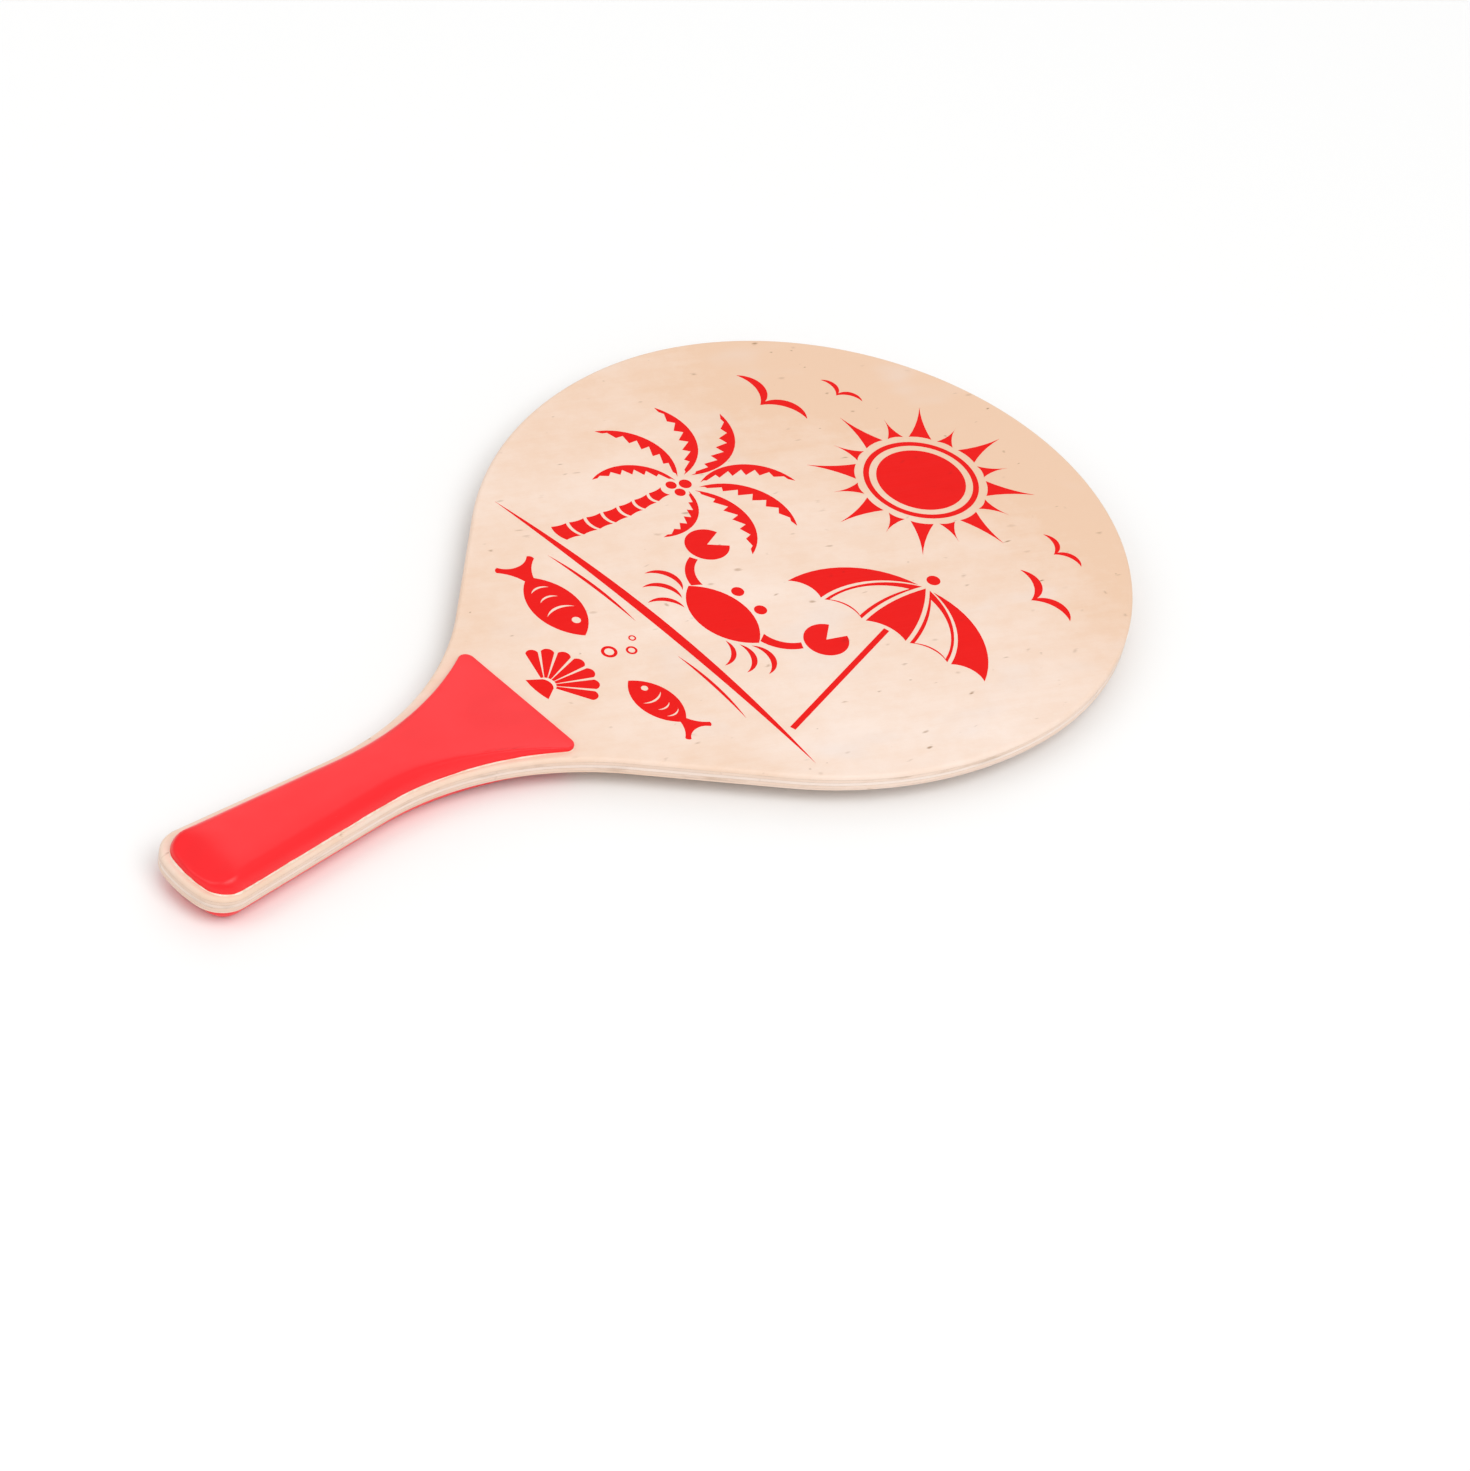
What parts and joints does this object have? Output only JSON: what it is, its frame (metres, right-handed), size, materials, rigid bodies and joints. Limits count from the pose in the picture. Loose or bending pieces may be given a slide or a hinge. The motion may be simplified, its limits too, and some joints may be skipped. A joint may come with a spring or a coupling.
{
  "type": "beach game paddle",
  "caption": "Flat plywood beach paddle with a nearly round blade, a hollowed neck and raised handle scales glued on both sides.",
  "frame": {"origin": "centre of the bounding box: halfway along the length, in the middle of the board's thickness", "axes": "+X along the paddle towards the tip of the blade, +Y across the blade, +Z out of the front face"},
  "size_m": [0.38, 0.216, 0.0186],
  "materials": {
    "face_veneer": "bare sanded veneer",
    "crossband": "sanded end grain",
    "core_veneer": "sanded edge grain",
    "glue_line": "cured resin",
    "scale_glue": "cured wood glue",
    "handle_scale": "satin gloss red enamel"
  },
  "bodies": {
    "root": {"front_face_veneer": "face_veneer", "front_outer_glue_line": "glue_line", "front_crossband": "crossband", "front_inner_glue_line": "glue_line", "core_veneer": "core_veneer", "rear_inner_glue_line": "glue_line", "rear_crossband": "crossband", "rear_outer_glue_line": "glue_line", "rear_face_veneer": "face_veneer", "front_scale_glue": "scale_glue", "front_handle_scale": "handle_scale", "rear_scale_glue": "scale_glue", "rear_handle_scale": "handle_scale"}
  },
  "joints": []
}
